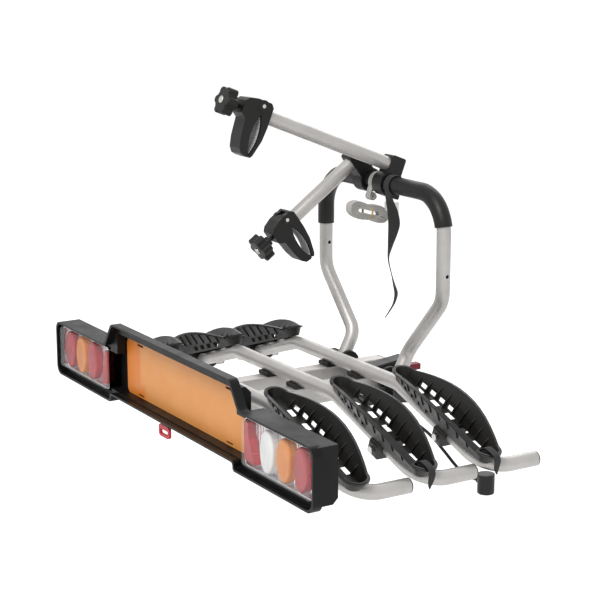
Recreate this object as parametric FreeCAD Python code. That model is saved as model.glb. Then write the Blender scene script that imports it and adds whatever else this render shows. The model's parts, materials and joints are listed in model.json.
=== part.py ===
import FreeCAD, Part
import math
import os
from FreeCAD import Placement, Rotation, Vector

# Tow ball bike rack for three bicycles.
# Millimetres. Origin at the tow ball's centre, +X to the right end of the light board,
# +Y towards the car, +Z up.

# Tow ball and coupling
ball_d = 50.0
ball_gap = 0.3
cup_wall = 10.0
cup_bottom = -22.0
cup_top = 32.0
cheek_w = 12.0
jaw_w = 30.0
side_gap = 1.0
pin_gap = 0.05
tilt_y = -70.0
tilt_z = 12.0
tilt_pin_d = 16.0
lever_pin_y = -100.0
lever_pin_z = 57.0
lever_pin_d = 8.0
lever_w = 40.0
lever_tail_y = -109.0
lever_front_y = -4.0
lever_top = 78.0
lever_wall = 6.0
button_len = 46.0
button_w = 22.0
button_h = 15.0
button_z = 49.0
button_travel = 4.0
button_gap = 0.5
jaw_pin_y = -36.0
jaw_pin_z = 19.0
jaw_pin_d = 6.0

# Two lengthwise members
member_w = 36.0
member_h = 40.0
member_wall = 2.5
member_pitch = 114.0
member_top = 66.0
member_front = -25.0
member_rear = -541.7
yoke_t = 6.0
yoke_rear = -130.0
bracket_t = 5.0
bracket_half = 230.0
bracket_high = 112.0
bolt_af = 13.0
bolt_head_h = 5.3

# Rails with drooping ends
rail_d = 30.0
rail_wall = 2.0
rail_pitch = 153.0
rail_last_y = -157.0
rail_z = 85.0
rail_flat = 200.0
rail_end_x = 500.0
rail_end_z = -15.0
rail_end_len = 120.0
rail_corner_r = 60.0
rail_droop_r = 90.0
cap_t = 3.0
cap_plug = 9.0
collar_back = 48.0
collar_len = 9.0
collar_t = 2.0
saddle_w = 36.0
saddle_l = 42.0
saddle_h = 9.0
seat_gap = 0.3

# Wheel trays
tray_len = 290.0
tray_start = 14.0
tray_half_w = 47.0
tray_end_half_w = 12.0
tray_height = 50.0
tray_end_height = 8.0
tray_floor_half = 27.0
tray_floor_end = 9.0
tray_wall = 3.0
tray_shoulder = 0.44
tray_stations = 12
tray_inner_lead = 40.0
tray_outer_lead = 50.0
tray_rim = 3.0
tray_rim_t = 3.0
fin_count = 9
fin_t = 2.6
fin_reach = 10.0
window_count = 4
window_len = 17.0
window_h = 10.0
window_first = 43.5
window_pitch = 29.0
slot_len = 26.0
slot_w = 13.0
slot_pitch = 50.0
slot_count = 5
clamp_at = 0.6
clamp_len = 28.0
clamp_w = 62.0
clamp_h = 36.0
strap_w = 22.0
strap_t = 2.5
strap_drop = 34.0
wheel_strap_w = 16.0

# Light board: the plate sets its middle, and each lamp with its rim sets a wing
plate_w = 520.0
plate_side_gap = 2.0
lamp_side_gap = 38.0
lamp_len = 249.0
lamp_end_rim = 13.0
centre_half = plate_w / 2 + plate_side_gap
lamp_inner = centre_half + lamp_side_gap
lamp_outer = lamp_inner + lamp_len
board_half = lamp_outer + lamp_end_rim
board_front = -592.0
board_depth = 20.0
board_wall = 4.5
centre_low = 8.0
centre_high = 171.0
low_step_inset = 10.0
low_step_x = centre_half + low_step_inset
high_step = 38.0
wing_low = -8.0
wing_high = 117.0
centre_box_depth = 25.0
centre_box_side = 6.0
centre_box_drop = 18.0
centre_box_lift = 2.0
centre_box_bevel = 12.0
link_box_drop = 12.0
link_box_side = 12.0
wing_box_depth = 37.0
wing_box_inset = 6.0
wing_box_bevel = 11.0
wing_box_inner = lamp_inner - wing_box_inset
step_r = 7.0
corner_r = 20.0
plate_h = 121.0
plate_t = 3.0
plate_corner = 12.0
plate_slot_x = 195.0
plate_slot_edge = 5.0
lamp_low = 11.0
lamp_high = 107.0
lamp_wall = 2.5
lamp_front = -580.0
lamp_reflector = 12.0
cover_t = 2.0
cover_bulge = 10.0
lens_half_h = 43.0
lens_depth = 17.0
lens_round = 6.0
lens_outer_inset = 44.0
lens_inner_inset = 85.0
lens_outer_x = lamp_outer - lens_outer_inset
lens_pitch = (lamp_len - lens_outer_inset - lens_inner_inset) / 2
lens_half_w = lens_pitch * 0.4
reflector_w = 30.0

# Hoop
hoop_d = 30.0
hoop_wall = 2.0
hoop_y = -64.0
hoop_half = 224.0
hoop_top = 471.0
hoop_corner_r = 80.0
hoop_waist_z = 250.0
hoop_waist_r = 60.0
foot_x = 106.0
foot_knee_z = 120.0
foot_knee_r = 45.0
foot_y = -96.0
foot_z = 56.0
foot_past = 14.0
foot_pin_d = 10.0
ear_t = 4.0
ear_gap = 1.0
ear_r = 18.0
hole_d = 8.0
hole_z = 306.0
sleeve_d = 38.0
sleeve_gap = 0.3
sleeve_left_z = 350.0
sleeve_right_z = 407.0
hoop_knob_d = 40.0
hoop_knob_t = 22.0

# Arms and jaws
arm_d = 30.0
arm_wall = 2.0
arm_clamp_w = 34.0
arm_clamp_wall = 7.0
arm_socket = 20.0
upper_arm_x = 14.0
upper_arm_offset = 40.0
upper_arm_angle = 21.5
upper_arm_len = 334.0
lower_arm_x = -60.0
lower_arm_offset = 55.0
lower_arm_angle = -36.0
lower_arm_len = 189.0
jaw_half = 20.0
jaw_seam = 25.0
jaw_reach = 56.0
jaw_boss = 70.0
jaw_up = 27.0
jaw_down = 92.0
jaw_split = 0.6
rivet_up = 16.0
rivet_d = 8.0
lug_r = 8.5
lug_half = 9.0
lug_slot_end = 10.0
cheek_r = 12.5
leaf_start = 2.0
leaf_end = 90.0
leaf_fixed = 10.0
leaf_moving = 10.0
pad_t = 2.5
stud_d = 8.0
stud_clear = 1.0
stud_tip = 19.0
knob_d = 60.0
knob_t = 22.0
knob_front = 112.0
knob_lobes = 6
knob_hub_d = 22.0
knob_hub_len = 12.0

# Straps on the hoop
strap_ring_gap = 0.6
strap_ring_t = 2.4
grey_strap_x = -23.0
grey_ring_x = -14.5
ring_w = 20.0
black_strap_x = 44.0
black_strap_w = 20.0
black_strap_y = -81.0
black_strap_z = 459.0
black_strap_run = [
    (0, 0, 0, 0), (0, -4, 45, 5), (0, -5, 75, 12), (0, -3, 110, 50), (0, 0, 150, 90),
    (2, -6, 185, 60), (4, -18, 220, 20), (0, -8, 250, 50), (-2, 4, 275, 80),
]
hank_len = 104.0
hank_h = 50.0
hank_t = 24.0
hank_y = -90.0
hank_z = 406.0

# Tilt latch
latch_x = -24.0
latch_z = -2.0
latch_d = 10.0
latch_gap = 1.1
keeper_len = 13.0
keeper_step = 2.0
keeper_slope = 6.0
keeper_h = 12.0
loop_w = 46.0
loop_h = 26.0
loop_d = 6.0
loop_y = -588.0

# Socket plug parked under the front rail, and its cable
plug_d = 34.0
plug_h = 40.0
plug_x = 482.0
plug_y = -143.0
plug_top = -33.0
gland_len = 8.0
gland_d = 12.0
cable_d = 6.5
cable_points = [
    (75.3, -196.0, 44.0), (114.0, -193.0, 41.0), (158.0, -182.0, 34.0), (206.0, -170.0, 26.0),
    (254.0, -154.0, 16.0), (298.0, -142.0, -4.0), (336.0, -135.0, -30.0), (374.0, -133.0, -52.0),
    (412.0, -137.0, -60.0), (440.0, -142.0, -55.0), (456.7, -143.0, -53.0),
]

# Worked out from the sizes above
X_AXIS = Vector(1, 0, 0)
Y_AXIS = Vector(0, 1, 0)
Z_AXIS = Vector(0, 0, 1)
member_x = member_pitch / 2
member_bottom = member_top - member_h
rail_r = rail_d / 2
rail_ys = [rail_last_y - 2 * rail_pitch, rail_last_y - rail_pitch, rail_last_y]
droop = math.degrees(math.atan2(rail_z - rail_end_z, rail_end_x - rail_flat))
socket_r = ball_d / 2 + ball_gap
cup_r = socket_r + cup_wall
board_back = board_front + board_depth
keeper_end = tilt_y - tilt_pin_d - seat_gap - keeper_len
sleeve_r = sleeve_d / 2
nodes = {}


def box(x0, x1, y0, y1, z0, z1):
    """A block between two corners."""
    return Part.makeBox(x1 - x0, y1 - y0, z1 - z0, Vector(x0, y0, z0))


def rod(start, end, d):
    """A round bar between two points."""
    line = end - start
    return Part.makeCylinder(d / 2, line.Length, start, line)


def prism(points, push):
    """A polygon pushed along a vector."""
    wire = Part.makePolygon(list(points) + [points[0]])
    return Part.Face(wire).extrude(push)


def side_prism(points, x0, x1):
    """A polygon of (y, z) points pushed from x0 to x1."""
    return prism([Vector(x0, y, z) for y, z in points], Vector(x1 - x0, 0, 0))


def front_prism(points, y0, y1):
    """A polygon of (x, z) points pushed from y0 to y1."""
    return prism([Vector(x, y0, z) for x, z in points], Vector(0, y1 - y0, 0))


def fused(shapes):
    """Several overlapping solids as one."""
    return shapes[0].fuse(shapes[1:]).removeSplitter()


def moved(shape, position, rotation=None):
    """A copy of a shape, turned about the origin and then moved."""
    copy = shape.copy()
    copy.Placement = Placement(position, rotation or Rotation()).multiply(copy.Placement)
    return copy


def mirrored(shape):
    """The shape on the other side of the rack's middle plane."""
    return shape.mirror(Vector(0, 0, 0), X_AXIS)


def both_sides(shape):
    """A shape and its mirror image, as two solids."""
    return Part.makeCompound([mirrored(shape), shape])


def edges_along(shape, axis):
    """The straight edges of a shape that run along an axis."""
    found = []
    for edge in shape.Edges:
        if isinstance(edge.Curve, Part.Line) and abs(edge.Curve.Direction.dot(axis)) > 0.999:
            found.append(edge)
    return found


def rounded(shape, axis, radius):
    """A shape with all its straight edges along an axis rounded."""
    return shape.makeFillet(radius, edges_along(shape, axis))


def bent_path(points, radii):
    """Straight runs joined by tangent arcs, one radius for each inner point."""
    edges = []
    last = points[0]
    for before, corner, after, radius in zip(points, points[1:], points[2:], radii):
        back = (before - corner).normalize()
        ahead = (after - corner).normalize()
        half = back.getAngle(ahead) / 2
        reach = radius / math.tan(half)
        start = corner + back * reach
        end = corner + ahead * reach
        bisector = (back + ahead).normalize()
        middle = corner + bisector * (radius / math.sin(half) - radius)
        edges.append(Part.LineSegment(last, start).toShape())
        edges.append(Part.Arc(start, middle, end).toShape())
        last = end
    edges.append(Part.LineSegment(last, points[-1]).toShape())
    return Part.Wire(edges)


def swept(points, radii, d):
    """A round bar along a bent path."""
    path = bent_path(points, radii)
    ring = Part.Wire(Part.makeCircle(d / 2, points[0], (points[1] - points[0]).normalize()))
    return path.makePipeShell([ring], True, False)


def bent_tube(points, radii, d, wall):
    """A round tube along a bent path, open at both ends."""
    return swept(points, radii, d).cut(swept(points, radii, d - 2 * wall))


def bolt_head(seat, axis):
    """A hexagonal bolt head just clear of its seat, domed on top."""
    corner = bolt_af / math.sqrt(3)
    ring = []
    for i in range(6):
        angle = math.pi / 3 * i
        ring.append(Vector(corner * math.cos(angle), corner * math.sin(angle), 0))
    head = prism(ring, Z_AXIS * bolt_head_h)
    head = head.common(Part.makeCone(corner + bolt_head_h, corner - 1, bolt_head_h + 1))
    return moved(head, seat + axis * seat_gap, Rotation(Z_AXIS, axis))


# Coupling
def coupling_housing():
    """The cast cup over the ball, with cheeks for the lever, the jaw and the tilt pin, and the latch's keeper."""
    inner = jaw_w / 2 + side_gap
    outer = inner + cheek_w
    rear = tilt_y - tilt_pin_d
    cheek = [
        (18, cup_bottom + 6), (18, cup_top - 2), (rear + 10, cup_top - 2), (lever_pin_y + 10, lever_pin_z + 8),
        (lever_pin_y - 8, lever_pin_z + 8), (lever_pin_y - 11, lever_pin_z - 8), (rear, tilt_z + 8),
        (rear, latch_z - 10), (-30, cup_bottom + 6),
    ]
    parts = [Part.makeCylinder(cup_r, cup_top - cup_bottom, Vector(0, 0, cup_bottom))]
    parts.append(side_prism(cheek, inner, outer))
    parts.append(side_prism(cheek, -outer, -inner))
    body = fused(parts)
    mouth = Part.makeCylinder(socket_r, 1 - cup_bottom, Vector(0, 0, cup_bottom - 1))
    body = body.cut(Part.makeSphere(socket_r).fuse(mouth))
    body = body.cut(box(-inner, inner, rear - 1, -6, cup_bottom - 1, jaw_pin_z + 10))
    lever_room = lever_w / 2 + side_gap
    body = body.cut(box(-lever_room, lever_room, lever_tail_y - 10, 22, cup_top, lever_pin_z + 20))
    for y, z, d in (
        (lever_pin_y, lever_pin_z, lever_pin_d), (jaw_pin_y, jaw_pin_z, jaw_pin_d), (tilt_y, tilt_z, tilt_pin_d),
    ):
        body = body.cut(rod(Vector(-cup_r - 1, y, z), Vector(cup_r + 1, y, z), d + 2 * pin_gap))
    start = rear - seat_gap
    high = latch_z - keeper_step
    keeper = [
        (start, high), (keeper_end, high), (keeper_end - keeper_slope, high - keeper_slope),
        (keeper_end - keeper_slope, high - keeper_h), (start, high - keeper_h),
    ]
    return Part.makeCompound([body, side_prism(keeper, latch_x - 6, latch_x + 6)])


def ball_jaw():
    """The swinging jaw that closes on the ball from behind."""
    profile = [(-8, -19), (-36, -19), (-43, -8), (-43, jaw_pin_z + 2), (-38, jaw_pin_z + 7), (-28, jaw_pin_z + 7)]
    jaw = side_prism(profile, -jaw_w / 2, jaw_w / 2)
    jaw = jaw.cut(Part.makeSphere(socket_r))
    return jaw.cut(rod(Vector(-jaw_w, jaw_pin_y, jaw_pin_z), Vector(jaw_w, jaw_pin_y, jaw_pin_z),
                       jaw_pin_d + 2 * pin_gap))


def lever_hole():
    """The hole for the lever's pin."""
    return rod(Vector(-lever_w, lever_pin_y, lever_pin_z), Vector(lever_w, lever_pin_y, lever_pin_z),
               lever_pin_d + 2 * pin_gap)


def coupling_lever():
    """The steel arm inside the handle, on the lever pin."""
    half = lever_w / 2 - lever_wall - seat_gap
    low = lever_pin_z - 6
    profile = [
        (lever_tail_y + 2, low), (lever_tail_y + 2, lever_pin_z + 4),
        (lever_front_y - lever_wall - 3, lever_top - lever_wall), (lever_front_y - lever_wall - 3, 42), (-40, 39),
    ]
    return side_prism(profile, -half, half).cut(lever_hole())


def lever_cover():
    """The moulded handle over the lever, open underneath, with a pocket for its button."""
    low = lever_pin_z - 7
    profile = [
        (lever_tail_y, low), (lever_tail_y, lever_pin_z + 9), (lever_front_y, lever_top), (lever_front_y, 38), (-30, 35),
    ]
    cover = side_prism(profile, -lever_w / 2, lever_w / 2)
    top_edges = [e for e in cover.Edges if e.BoundBox.ZMin > lever_pin_z + 7 and e.BoundBox.XLength < 1]
    cover = cover.makeFillet(4, top_edges)
    half = lever_w / 2 - lever_wall
    front = lever_front_y - lever_wall
    inside = [(lever_tail_y - 1, 30), (lever_tail_y - 1, lever_pin_z + 5), (front, lever_top - lever_wall + 1), (front, 30)]
    cover = cover.cut(side_prism(inside, -half, half)).cut(lever_hole())
    w = button_w / 2 + button_gap
    h = button_h / 2 + button_gap
    return cover.cut(box(-w, w, front - 1, lever_front_y + 1, button_z - h, button_z + h))


def release_button():
    """The long thumb button that stands out of the lever's front."""
    y = lever_front_y - button_travel
    w = button_w / 2
    h = button_h / 2
    return rounded(box(-w, w, y, y + button_len, button_z - h, button_z + h), Y_AXIS, 4)


def coupling_pins():
    """The pins of the lever, the jaw and the tilting platform."""
    lever_half = lever_w / 2 + side_gap + 6
    jaw_half_len = jaw_w / 2 + side_gap + cheek_w
    tilt_half = member_x - member_w / 2 + 1 + yoke_t + 3
    pins = [
        rod(Vector(-lever_half, lever_pin_y, lever_pin_z), Vector(lever_half, lever_pin_y, lever_pin_z), lever_pin_d),
        rod(Vector(-jaw_half_len, jaw_pin_y, jaw_pin_z), Vector(jaw_half_len, jaw_pin_y, jaw_pin_z), jaw_pin_d),
        rod(Vector(-tilt_half, tilt_y, tilt_z), Vector(tilt_half, tilt_y, tilt_z), tilt_pin_d),
    ]
    return Part.makeCompound(pins)


# Platform frame
def member():
    """One of the two lengthwise rectangular tubes, on the right."""
    x0 = member_x - member_w / 2
    x1 = member_x + member_w / 2
    outer = rounded(box(x0, x1, member_rear, member_front, member_bottom, member_top), Y_AXIS, 4)
    w = member_wall
    inner = box(x0 + w, x1 - w, member_rear - 1, member_front + 1, member_bottom + w, member_top - w)
    return outer.cut(inner)


def member_cap():
    """The plastic plug in a member's front end."""
    x0 = member_x - member_w / 2
    x1 = member_x + member_w / 2
    w = member_wall + 0.2
    plug = box(x0 + w, x1 - w, member_front - cap_plug, member_front + 1, member_bottom + w, member_top - w)
    face = rounded(box(x0, x1, member_front, member_front + cap_t, member_bottom, member_top), Y_AXIS, 4)
    return plug.fuse(face)


def tilt_yoke():
    """The folded bracket under the members that turns on the tilt pin."""
    x0 = member_x - member_w / 2 + 1
    x1 = x0 + yoke_t
    ear = [
        (yoke_rear, member_bottom), (tilt_y + 22, member_bottom), (tilt_y + 16, tilt_z - 12),
        (tilt_y - 12, tilt_z - 18), (yoke_rear, tilt_z - 22),
    ]
    flange = box(x0, x1 + 12, yoke_rear, tilt_y + 16, member_bottom - 5, member_bottom)
    side = fused([side_prism(ear, x0, x1), flange])
    web = box(-x1, x1, yoke_rear, yoke_rear + yoke_t, tilt_z - 22, member_bottom)
    yoke = fused([side, mirrored(side), web])
    yoke = yoke.cut(rod(Vector(-x1 - 1, tilt_y, tilt_z), Vector(x1 + 1, tilt_y, tilt_z), tilt_pin_d + 2 * pin_gap))
    guide = rod(Vector(latch_x, yoke_rear - 1, latch_z), Vector(latch_x, yoke_rear + yoke_t + 1, latch_z),
                latch_d + 4 * pin_gap)
    return yoke.cut(guide)


def board_bracket():
    """The steel plate across the members' rear ends that carries the light board."""
    y1 = member_rear
    y0 = y1 - bracket_t
    plate = box(-bracket_half, bracket_half, y0, y1, member_bottom, bracket_high)
    plate = rounded(plate, Y_AXIS, 10)
    tab = box(latch_x - 16, latch_x + 16, y0, y1, latch_z - 12, member_bottom + 1)
    plate = fused([plate, tab])
    for x in (-150, 0, 150):
        plate = plate.cut(rounded(box(x - 40, x + 40, y0 - 1, y1 + 1, member_top + 8, bracket_high - 14), Y_AXIS, 8))
    guide = rod(Vector(latch_x, y0 - 1, latch_z), Vector(latch_x, y1 + 1, latch_z), latch_d + 4 * pin_gap)
    return plate.cut(guide)


def rail_points(y):
    """The corners of one rail's axis, from its left end to its right end."""
    half = [(rail_flat, y, rail_z), (rail_end_x, y, rail_end_z), (rail_end_x, y + rail_end_len, rail_end_z)]
    right = [Vector(*p) for p in half]
    left = [Vector(-p[0], p[1], p[2]) for p in reversed(half)]
    return left + right


def rail(y):
    """A rail: one round tube with two drooping arms and turned ends."""
    radii = [rail_corner_r, rail_droop_r, rail_droop_r, rail_corner_r]
    return bent_tube(rail_points(y), radii, rail_d, rail_wall)


def rail_cap(y):
    """The plastic plug in a rail's right end."""
    end = Vector(rail_end_x, y + rail_end_len, rail_end_z)
    plug = rod(end - Y_AXIS * cap_plug, end, rail_d - 2 * rail_wall - 0.2)
    face = Part.makeCylinder(rail_r, cap_t, end, Y_AXIS)
    return plug.fuse(face.makeFillet(1.5, [face.Edges[0]]))


def rail_collar(y):
    """The plastic ring round a rail's left end, a little before its plug."""
    start = Vector(-rail_end_x, y + rail_end_len - collar_back, rail_end_z)
    ring = Part.makeCylinder(rail_r + collar_t, collar_len, start, Y_AXIS)
    return ring.cut(rod(start - Y_AXIS, start + Y_AXIS * (collar_len + 1), rail_d + 2 * pin_gap))


def tube_caps():
    """All the plastic end plugs of the rails and members, and the rings on the left."""
    right = [rail_cap(y) for y in rail_ys] + [member_cap()]
    return Part.makeCompound(right + [mirrored(cap) for cap in right] + [rail_collar(y) for y in rail_ys])


def saddle(y):
    """The plastic cradle between a member and a rail, on the right."""
    z0 = member_top
    block = box(member_x - saddle_w / 2, member_x + saddle_w / 2, y - saddle_l / 2, y + saddle_l / 2, z0, z0 + saddle_h)
    block = rounded(block, X_AXIS, 2)
    groove = rod(Vector(0, y, rail_z), Vector(2 * member_x, y, rail_z), rail_d + 2 * pin_gap)
    return block.cut(groove)


def rail_saddles():
    """The six cradles."""
    right = [saddle(y) for y in rail_ys]
    return Part.makeCompound(right + [mirrored(s) for s in right])


# Wheel trays, first in a frame of their own: u along the tray, v across it, w up from its underside
def fullness(u):
    """How wide and high the tray is at u, from 0 to 1."""
    return math.sin(math.pi * (u + tray_inner_lead) / (tray_len + tray_inner_lead + tray_outer_lead))


def tray_sizes(u):
    """Half width of the floor, place of the shoulder, and place of the gunwale at u."""
    q = fullness(u)
    floor = tray_floor_end + (tray_floor_half - tray_floor_end) * q
    gunwale = tray_end_half_w + (tray_half_w - tray_end_half_w) * q
    height = tray_end_height + (tray_height - tray_end_height) * q
    shoulder = floor + 0.3 * (gunwale - floor)
    return floor, shoulder, tray_shoulder * height, gunwale, height


def tray_side():
    """One flared side wall, arched along its top edge, with a rim turned outwards."""
    sections = []
    for i in range(tray_stations + 1):
        u = tray_len * i / tray_stations
        floor, shoulder, shoulder_w, gunwale, height = tray_sizes(u)
        ring = [
            (floor, 0), (shoulder + 1, shoulder_w - 1), (gunwale - 1.5, height - tray_rim_t - 3),
            (gunwale + tray_rim, height - tray_rim_t - 1), (gunwale + tray_rim, height - 1),
            (gunwale - tray_wall, height), (shoulder - 2, shoulder_w + 1), (floor - tray_wall, tray_wall),
        ]
        points = [Vector(u, v, w) for v, w in ring]
        sections.append(Part.makePolygon(points + [points[0]]))
    return Part.makeLoft(sections, True, True)


def tray_end(u, facing):
    """The rounded end wall and floor end at u, facing along +u or -u."""
    floor, shoulder, shoulder_w, gunwale, height = tray_sizes(u)
    centre = Vector(u, 0, 0)
    rim = Part.makeCylinder(gunwale + tray_rim, tray_rim_t, centre + Z_AXIS * (height - tray_rim_t - 1))
    outer = Part.makeCone(floor, gunwale, height, centre).fuse(rim)
    inner = Part.makeCone(floor - tray_wall + 0.8, gunwale - tray_wall + 0.8, height, centre + Z_AXIS * tray_wall)
    wall = outer.cut(inner)
    half = box(u, u + 100, -100, 100, -1, 100)
    if facing < 0:
        half = box(u - 100, u, -100, 100, -1, 100)
    return wall.common(half)


def tray_fin(u, side):
    """A thin rib between the floor and one side wall."""
    floor, shoulder, shoulder_w, gunwale, height = tray_sizes(u)
    high_v = shoulder + 0.45 * (gunwale - shoulder)
    high_w = shoulder_w + 0.45 * (height - shoulder_w)
    ring = [
        (floor - fin_reach, 1.5), (floor - 1, 1.5), (shoulder, shoulder_w), (high_v, high_w), (high_v - 3, high_w + 1),
        (shoulder - 5, shoulder_w + 3),
    ]
    points = [Vector(u - fin_t / 2, side * v, w) for v, w in ring]
    return prism(points, X_AXIS * fin_t)


def tray_rib(u, side):
    """A thin rib outside one side wall, up to the rim."""
    floor, shoulder, shoulder_w, gunwale, height = tray_sizes(u)
    ring = [
        (shoulder, shoulder_w), (gunwale - 3, height - tray_rim_t - 2), (gunwale + tray_rim - 1, height - tray_rim_t),
        (shoulder + 4, shoulder_w - 1), (shoulder + 0.5, shoulder_w - 3),
    ]
    points = [Vector(u - fin_t / 2, side * v, w) for v, w in ring]
    return prism(points, X_AXIS * fin_t)


def tray():
    """The whole moulded tray in its own frame."""
    right = tray_side()
    left = right.mirror(Vector(0, 0, 0), Y_AXIS)
    stations = [tray_len * i / tray_stations for i in range(tray_stations + 1)]
    edge = [Vector(u, tray_sizes(u)[0] - 1, 0) for u in stations]
    edge += [Vector(u, 1 - tray_sizes(u)[0], 0) for u in reversed(stations)]
    floor = prism(edge, Z_AXIS * tray_wall)
    parts = [floor, right, left, tray_end(0, -1), tray_end(tray_len, 1)]
    for i in range(fin_count):
        u = tray_len * (i + 1) / (fin_count + 1)
        parts += [tray_fin(u, 1), tray_fin(u, -1), tray_rib(u, 1), tray_rib(u, -1)]
    shape = fused(parts)
    cuts = []
    for i in range(slot_count):
        u = tray_len / 2 + (i - (slot_count - 1) / 2) * slot_pitch
        for side in (-1, 1):
            reach = tray_sizes(u)[0] - 3
            v0 = reach - slot_w
            cuts.append(box(u - slot_len / 2, u + slot_len / 2, min(side * v0, side * reach),
                            max(side * v0, side * reach), -1, tray_wall + 1))
    for i in range(window_count):
        u = window_first + i * window_pitch
        cuts.append(box(u - window_len / 2, u + window_len / 2, -100, 100, 4.5, 4.5 + window_h))
    return shape.cut(Part.makeCompound(cuts))


def on_rail(shape, y, side):
    """A shape from the tray's frame, set on the right (1) or left (-1) arm of a rail."""
    down = Rotation(Y_AXIS, droop)
    start = Vector(rail_flat, 0, rail_z) + down.multVec(Vector(tray_start, 0, rail_r + seat_gap))
    placed = moved(shape, start, down)
    turn = Rotation(Z_AXIS, 0 if side > 0 else 180)
    return moved(placed, Vector(0, y, 0), turn)


def tray_clamp():
    """The block that grips the rail under a tray, in the tray's frame."""
    u = clamp_at * tray_len
    block = box(u - clamp_len / 2, u + clamp_len / 2, -clamp_w / 2, clamp_w / 2, -clamp_h, -seat_gap)
    block = rounded(block, X_AXIS, 9)
    axis_w = -rail_r - seat_gap
    bore = rod(Vector(u - clamp_len, 0, axis_w), Vector(u + clamp_len, 0, axis_w), rail_d + 2 * pin_gap)
    return block.cut(bore)


def tray_bolt():
    """The bolt head on the side of a tray clamp."""
    seat = Vector(clamp_at * tray_len, -clamp_w / 2, -clamp_h * 0.55)
    return bolt_head(seat, Vector(0, -1, 0))


def strip(points, thickness, width):
    """A flat band of even thickness along (u, w) points, centred on v = 0."""
    lower = []
    upper = []
    for i, point in enumerate(points):
        before = points[max(i - 1, 0)]
        after = points[min(i + 1, len(points) - 1)]
        run = Vector(after[0] - before[0], 0, after[1] - before[1]).normalize()
        across = Vector(-run.z, 0, run.x) * thickness
        start = Vector(point[0], -width / 2, point[1])
        lower.append(start)
        upper.append(start + across)
    return prism(lower + upper[::-1], Y_AXIS * width)


def wheel_strap():
    """The webbing strap that lies in a tray and hangs over its tip."""
    height = tray_sizes(tray_len)[4]
    tip = tray_len + tray_sizes(tray_len)[3] + tray_rim
    top = height + seat_gap
    end = top - strap_drop
    route = [
        (0.5 * tray_len, tray_wall + seat_gap), (tray_len - 20, tray_wall + seat_gap), (tray_len - 4, top),
        (tip + 1, top), (tip + 5, top - 6), (tip + 6, end),
    ]
    band = strip(route, strap_t, wheel_strap_w)
    for side in (-1, 1):
        corner = [(side * wheel_strap_w, end - 1), (side * 1.5, end - 1), (side * wheel_strap_w, end + 26)]
        band = band.cut(prism([Vector(tip, v, w) for v, w in corner], X_AXIS * 20))
    return band


# Light board
def outline(inset):
    """The board's front outline, inset all round."""
    step_z = wing_high
    right = [
        (low_step_x + inset, centre_low + inset), (low_step_x + inset, wing_low + inset),
        (board_half - inset, wing_low + inset), (board_half - inset, step_z - inset),
        (centre_half + high_step - inset, step_z - inset), (centre_half - inset, centre_high - inset),
    ]
    return right + [(-x, z) for x, z in reversed(right)]


def round_board(shape):
    """The board's corners rounded in front view."""
    low = []
    others = []
    for edge in edges_along(shape, Y_AXIS):
        centre = edge.CenterOfMass
        if abs(centre.x) < low_step_x + 12 and centre.z < centre_low + 12:
            low.append(edge)
        else:
            others.append(edge)
    return shape.makeFillet(step_r, low).makeFillet(corner_r, [
        e for e in edges_along(shape.makeFillet(step_r, low), Y_AXIS)
        if abs(e.CenterOfMass.x) > board_half - 30 or e.CenterOfMass.z > wing_high - 12
    ])


def wing_box(inset):
    """The deeper box behind the right lamp, bevelled at its lower rear edge, inset all round."""
    x0 = wing_box_inner + inset
    x1 = board_half - wing_box_inset - inset
    low = wing_low + wing_box_bevel + inset
    high = wing_high - 3 - inset
    back = board_back + wing_box_depth - inset
    bevel = wing_box_bevel - 0.6 * inset
    profile = [(board_back - board_wall - 3, low), (back - bevel, low), (back, low + bevel), (back, high),
               (board_back - board_wall - 3, high)]
    return side_prism(profile, x0, x1)


def middle_box(half, high, inset):
    """A box behind the board's middle, bevelled at its upper rear edge, inset all round."""
    low = centre_low + centre_box_lift + inset
    top = high - inset
    front = board_back - board_wall - 3
    back = board_back + centre_box_depth - inset
    bevel = centre_box_bevel - 0.6 * inset
    profile = [(front, low), (back, low), (back, top - bevel), (back - bevel, top), (front, top)]
    return side_prism(profile, inset - half, half - inset)


def rear_boxes(inset):
    """All the boxes behind the board's rim: for the panel, beside it, and for the two lamps."""
    panel_box = middle_box(centre_half + centre_box_side, centre_high - centre_box_drop, inset)
    link_box = middle_box(wing_box_inner + link_box_side, wing_high - link_box_drop, inset)
    return [panel_box, link_box, wing_box(inset), mirrored(wing_box(inset))]


def light_board():
    """The one-piece moulding: a shallow rim with deeper boxes behind the panel and the lamps."""
    shell = round_board(front_prism(outline(0), board_front, board_back))
    shell = fused([shell] + rear_boxes(0))
    pocket = round_board(front_prism(outline(board_wall), board_front - 1, board_back - board_wall))
    for space in [pocket] + rear_boxes(board_wall):
        shell = shell.cut(space)
    return shell


def plate_panel():
    """The plate carrier panel, with its four fixing slots."""
    y1 = board_back + centre_box_depth - board_wall
    low = centre_low + centre_box_lift + board_wall + 0.5
    panel = rounded(box(-plate_w / 2, plate_w / 2, y1 - plate_t, y1, low, low + plate_h), Y_AXIS, plate_corner)
    for x in (-plate_slot_x, plate_slot_x):
        for z in (low + plate_slot_edge, low + plate_h - plate_slot_edge):
            panel = panel.cut(box(x - 14, x + 14, y1 - plate_t - 1, y1 + 1, z - 2.5, z + 2.5))
    return panel


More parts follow.
